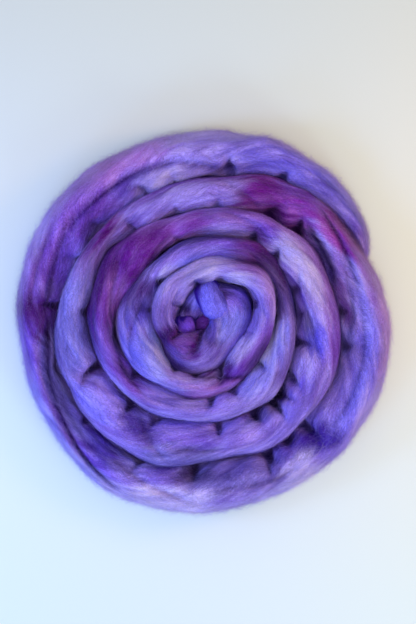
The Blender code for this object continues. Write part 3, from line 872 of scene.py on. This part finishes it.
def makeTuft(name, look, seed):
    rows = np.array(look["path"], float) * mm
    stations = np.linspace(0, len(rows) - 1, tuft["sections"] + 1)
    path = np.stack([readTable([column], 1.0, stations) for column in rows.T], axis=1)
    onward = np.linspace(0, 1, len(path))[:, None]
    forward = np.gradient(path[:, :2], axis=0)
    forward /= lengths(forward)
    side = np.stack([forward[:, 1], -forward[:, 0]], axis=1)
    length = float(lengths(np.diff(path[:, :3], axis=0)).sum())
    share = np.linspace(0, 1, tuft["around"], endpoint=False)[None, :]
    turn = share * math.tau
    relief = layers(tuft["relief"], onward * length, share, seed)
    endLength, fullness = tuft["ends"]
    ends = np.sin(math.pi * np.clip(onward, endLength, 1 - endLength)) ** fullness
    x, y, crown, halfWidth, halfHeight = (path[:, [column]] for column in range(5))
    sideways = (halfWidth * ends + relief) * np.cos(turn)
    up = crown - halfHeight + (halfHeight * ends + relief) * np.sin(turn)
    x = x + side[:, 0:1] * sideways - middleX
    y = y + side[:, 1:2] * sideways - middleY
    points = np.stack([x, y, np.maximum(up, tuft["lowest"])], axis=-1)
    first, second, shadeSideDye = (linear(dyes[dyeAndPaintedLight]) for dyeAndPaintedLight in look["dyes"])
    lumpsAlong, lumpsRound, ownSeed = tuft["blend"]
    blend = unevenness(onward * lumpsAlong, share * lumpsRound, seed + ownSeed, lumpsRound)
    faster, soft = tuft["secondDye"]
    toSecond = smooth(blend + faster * onward, 0.0, soft)[..., None]
    # painted shade: the third dye, darkened, on the tuft's left side and underside
    byBlend, byCosine, bySine = tuft["paintedShadeSide"]
    toPaintedShade = smooth(blend * byBlend + byCosine * np.cos(turn) + bySine * np.sin(turn), 0.0, 1.0)[..., None]
    colours = mix(mix(first, second, toSecond), shadeSideDye * tuft["paintedShadeDarkening"], toPaintedShade)
    fibreAcross = np.broadcast_to(share * tuft["roundLength"], colours.shape[:2])
    sweepTube(name, points, colours, length / tuft["sections"], fibreAcross)


for number, (name, look) in enumerate(tufts.items()):
    makeTuft(name, look, seeds["tufts"] + 10 * number)
print("inner end tucked in")

# fibres: thin hairs that lie along the strand with their ends loose; what all kinds have, unless
# a kind has its own
anyHair = {
    "pieces": 1,
    "hairs": 3000,  # in each piece
    "sides": 3,
    "thickness": (0.06 * mm, 0.12 * mm),
    "angleDeg": (19, 2011),  # the stretch of the strand that has them
    "spread": (0.45, 0.35),  # of a hair's drift and bend, as shares of its wander
    "waves": (0.6, 2.2),
    "leastLift": 0.1,
    "endCurve": 1.6,  # the lift is mostly near the ends
    "looseCurve": 1.2,  # and few hairs have all of it
    "dyeShiftMm": 4.0,
    "tone": 0.22,
    "toneSpread": 0.5,
    "frostTakenByShade": 0.95,  # share of the frost that goes where painted shade lies
    "tip": (0.25, 0.04),  # share of the thickness and of the length
    "lowest": 0.05 * mm,
    "fibrePlace": (3.0, 0.0004),  # how far apart hairs, and a hair's sides, are on the fibre map
}
fibres = {
    "combed_fibres": {
        "pieces": 3,
        "steps": 9,  # points along a hair
        "thickness": (0.10 * mm, 0.20 * mm),
        "length": (12.0 * mm, 46.0 * mm),
        "sectionDeg": (-35, 205),
        "wander": 34.0,  # how far a hair drifts round the section, in degrees
        "waveDeg": 7.0,
        "lift": 0.25 * mm,
        "endLift": 0.9 * mm,
        "tone": 0.45,
        "frost": 0.04,
    },
    "loose_fuzz": {
        "steps": 8,
        "length": (8.0 * mm, 26.0 * mm),
        "sectionDeg": (-30, 200),
        "wander": 80.0,
        "waveDeg": 20.0,
        "lift": 0.5 * mm,
        "endLift": 2.6 * mm,
        "frost": 0.16,
    },
    "rim_fuzz": {
        "hairs": 6000,
        "steps": 6,
        "length": (5.0 * mm, 16.0 * mm),
        "angleDeg": (19, 410),
        "sectionDeg": (-25, 60),
        "wander": 60.0,
        "waveDeg": 16.0,
        "lift": 1.0 * mm,
        "endLift": 4.0 * mm,
        "frost": 0.20,
    },
}


def makeHairs(name, look, seed):
    chance = np.random.default_rng(seed)
    hairs, steps, sides = look["hairs"], look["steps"], look["sides"]
    share = np.linspace(0, 1, steps)[None, :]
    length = chance.uniform(*look["length"], (hairs, 1))
    lowAlong, highAlong = alongAt(np.array(look["angleDeg"], float))
    along = lowAlong + chance.uniform(0, 1, (hairs, 1)) * (highAlong - lowAlong - length) + length * share
    lowDeg, highDeg = look["sectionDeg"]
    drift, bend = (chance.normal(0, spread, (hairs, 1)) * look["wander"] for spread in look["spread"])
    waves = chance.uniform(*look["waves"], (hairs, 1))
    wave = look["waveDeg"] * np.sin(math.tau * (share * waves + chance.random((hairs, 1))))
    fromMiddle = share - 0.5
    degs = chance.uniform(lowDeg, highDeg, (hairs, 1)) + drift * fromMiddle + bend * fromMiddle**2 + wave
    angles = angleAt(along)
    ends = np.abs(2 * share - 1) ** look["endCurve"]
    loose = chance.random((hairs, 1)) ** look["looseCurve"]
    lift = look["lift"] * chance.uniform(look["leastLift"], 1.0, (hairs, 1)) + look["endLift"] * loose * ends
    points, across, paintedShade = strandPoints(angles, degs, lift)
    shift = chance.normal(0, look["dyeShiftMm"], (hairs, 1)) * mm
    tone = 1 + look["tone"] * chance.normal(0, look["toneSpread"], (hairs, 1, 1))
    colours = dyeAndPaintedLightAt(angles, degs, across, paintedShade, shift) * tone
    frost = look["frost"] * (1 - look["frostTakenByShade"] * paintedShade[..., None])
    colours = mix(colours, frostDye, frost)

    forward = np.gradient(points, axis=1)
    forward /= np.maximum(lengths(forward), tiny * mm)
    side = np.cross(forward, np.array([0.0, 0.0, 1.0]))
    side /= np.maximum(lengths(side), tiny)
    over = np.cross(side, forward)
    thin, tipLength = look["tip"]
    taper = thin + (1 - thin) * np.sin(math.pi * np.clip(share, tipLength, 1 - tipLength)) ** 0.5
    radius = (chance.uniform(*look["thickness"], (hairs, 1)) / 2 * taper)[..., None, None]
    turns = np.arange(sides)[:, None] * math.tau / sides
    ring = np.cos(turns) * side[:, :, None, :] + np.sin(turns) * over[:, :, None, :]
    tube = points[:, :, None, :] + radius * ring
    tube[..., 2] = np.maximum(tube[..., 2], look["lowest"])
    colours = np.repeat(np.clip(colours, 0, 1)[:, :, None, :], sides, axis=2)

    index = np.arange(hairs * steps * sides).reshape(hairs, steps, sides)
    near, far = index[:, :-1], index[:, 1:]
    quads = np.stack([near, np.roll(near, -1, 2), np.roll(far, -1, 2), far], axis=-1).reshape(-1, 4)
    caps = np.concatenate([index[:, 0, ::-1], index[:, -1]])

    edge, cellLength, cellSide = 0.05, 0.9, 0.3  # of a hair's cell on the unwrapping
    capCornersU, capCornersV = np.array([0.06, 0.10, 0.08]), np.array([0.1, 0.1, 0.3])
    columns = math.ceil(math.sqrt(hairs / 4))
    rows = math.ceil(hairs / columns)
    column, row = np.arange(hairs) % columns, np.arange(hairs) // columns
    cellU, cellV = column[:, None, None, None], row[:, None, None, None]
    stepOf = np.arange(steps - 1)[None, :, None, None]
    sideOf = np.arange(sides)[None, None, :, None]
    onward, upward = np.array([0, 0, 1, 1]), np.array([0, 1, 1, 0])
    stepShare = (stepOf + onward) / (steps - 1)
    quadU = (cellU + edge + cellLength * stepShare) / columns
    quadV = (cellV + edge + cellSide * (sideOf + upward)) / rows
    capU = (np.tile(column, 2)[:, None] + capCornersU) / columns
    capV = (np.tile(row, 2)[:, None] + capCornersV) / rows
    bakeMap = np.concatenate([pairs(quadU, quadV), pairs(capU, capV)])

    ownPlace = chance.random((hairs, 1, 1, 1))
    apart, sideApart = look["fibrePlace"]
    fibreU = ownPlace * apart + length[..., None, None] * stepShare
    fibreV = ownPlace + sideApart * (sideOf + upward)
    capPlace = np.repeat(np.tile(ownPlace[:, 0, 0], (2, 1)), sides, axis=0)
    fibreMap = np.concatenate([pairs(fibreU, fibreV), pairs(capPlace, capPlace)])
    points, colours = tube.reshape(-1, 3), colours.reshape(-1, 3)
    addPiece(name, points, [*quads, *caps], colours, fibreMap, bakeMap, fibreFinish)


for kind, (name, own) in enumerate(fibres.items(), 1):
    look = {**anyHair, **own}
    for number in range(look["pieces"]):
        makeHairs(name + "_" + "abcd"[number], look, 100 * kind + number)
print("fibres combed")

studio = {
    "floorSize": 16.0,
    "floorDrop": 0.2 * mm,
    "floorColour": (0.74, 0.80, 0.84, 1.0),
    "floorRoughness": (0.55, 0.2),  # least, and how much the grain adds
    "floorGrain": {"Scale": 3.0, "Detail": 2.0},
    "worldColour": (1.0, 1.0, 0.92, 1.0),
    "worldStrength": 0.54,
    # name: place, what it is aimed at, size, spread in degrees, watts, colour
    "lamps": {
        "overhead": ((0.04, -0.12, 1.5), (0, 0, 0), 0.7, 180, 4.0, (1.0, 1.0, 0.97)),
        "warm side": ((0.46, 0.10, 0.34), (0.17, 0.02, 0), 0.2, 100, 0.32, (1.0, 0.52, 0.10)),
        "cool side": ((-0.46, -0.06, 0.34), (-0.17, -0.02, 0), 0.2, 100, 0.46, (0.25, 0.45, 1.0)),
        "cool front": ((-0.34, -0.46, 0.34), (-0.10, -0.17, 0), 0.2, 100, 0.34, (0.12, 0.42, 1.0)),
        "front": ((0.34, -0.48, 0.36), (0.10, -0.16, 0), 0.2, 100, 0.30, (0.66, 0.90, 1.0)),
    },
    "imageWidth": 416,
    "imageHeight": 624,
    "metresPerPixel": 0.000654,  # at the height where the coil is widest
    "coilPixel": (203.5, 322.0),  # the middle of the coil's outline in the image
    "scaleHeight": 0.018,
    "lens": 85.0,
    "sensor": 36.0,
}


def makeFloor():
    place = (0, 0, -studio["floorDrop"])
    bpy.ops.mesh.primitive_plane_add(size=studio["floorSize"], location=place)
    floor = bpy.context.object
    floor.name = "floor"
    finish = Finish("pale floor")
    objectPlace = finish.node("TexCoord", out=3)
    grain = finish.node("TexNoise", {}, {"Vector": objectPlace, **studio["floorGrain"]})
    least, more = studio["floorRoughness"]
    finish.feed(Base_Color=studio["floorColour"], Roughness=least + grain * more)
    floor.data.materials.append(finish.material)


def makeLamps():
    for name, (place, aim, size, spreadDeg, watts, colour) in studio["lamps"].items():
        light = bpy.data.lights.new(name, "AREA")
        light.shape = "DISK"
        light.size = size
        light.spread = math.radians(spreadDeg)
        light.energy = watts
        light.color = colour
        lamp = bpy.data.objects.new(name, light)
        lamp.location = place
        lamp.rotation_euler = (Vector(aim) - lamp.location).to_track_quat("-Z", "Y").to_euler()
        scene.collection.objects.link(lamp)
    world = bpy.data.worlds.new("studio")
    world.use_nodes = True
    sky = world.node_tree.nodes["Background"]
    sky.inputs["Color"].default_value = studio["worldColour"]
    sky.inputs["Strength"].default_value = studio["worldStrength"]
    scene.world = world


def makeCamera():
    camera = bpy.data.objects.new("camera", bpy.data.cameras.new("camera"))
    camera.data.lens = studio["lens"]
    camera.data.sensor_width = studio["sensor"]
    scale = studio["metresPerPixel"]
    away = studio["imageHeight"] * scale * studio["lens"] / studio["sensor"]
    aimX = (studio["imageWidth"] / 2 - studio["coilPixel"][0]) * scale
    aimY = (studio["coilPixel"][1] - studio["imageHeight"] / 2) * scale
    camera.location = (aimX, aimY, studio["scaleHeight"] + away)
    scene.collection.objects.link(camera)
    scene.camera = camera


makeFloor()
makeLamps()
makeCamera()
view = scene.view_settings
view.view_transform = "Standard"
view.look = "None"
print("studio set")
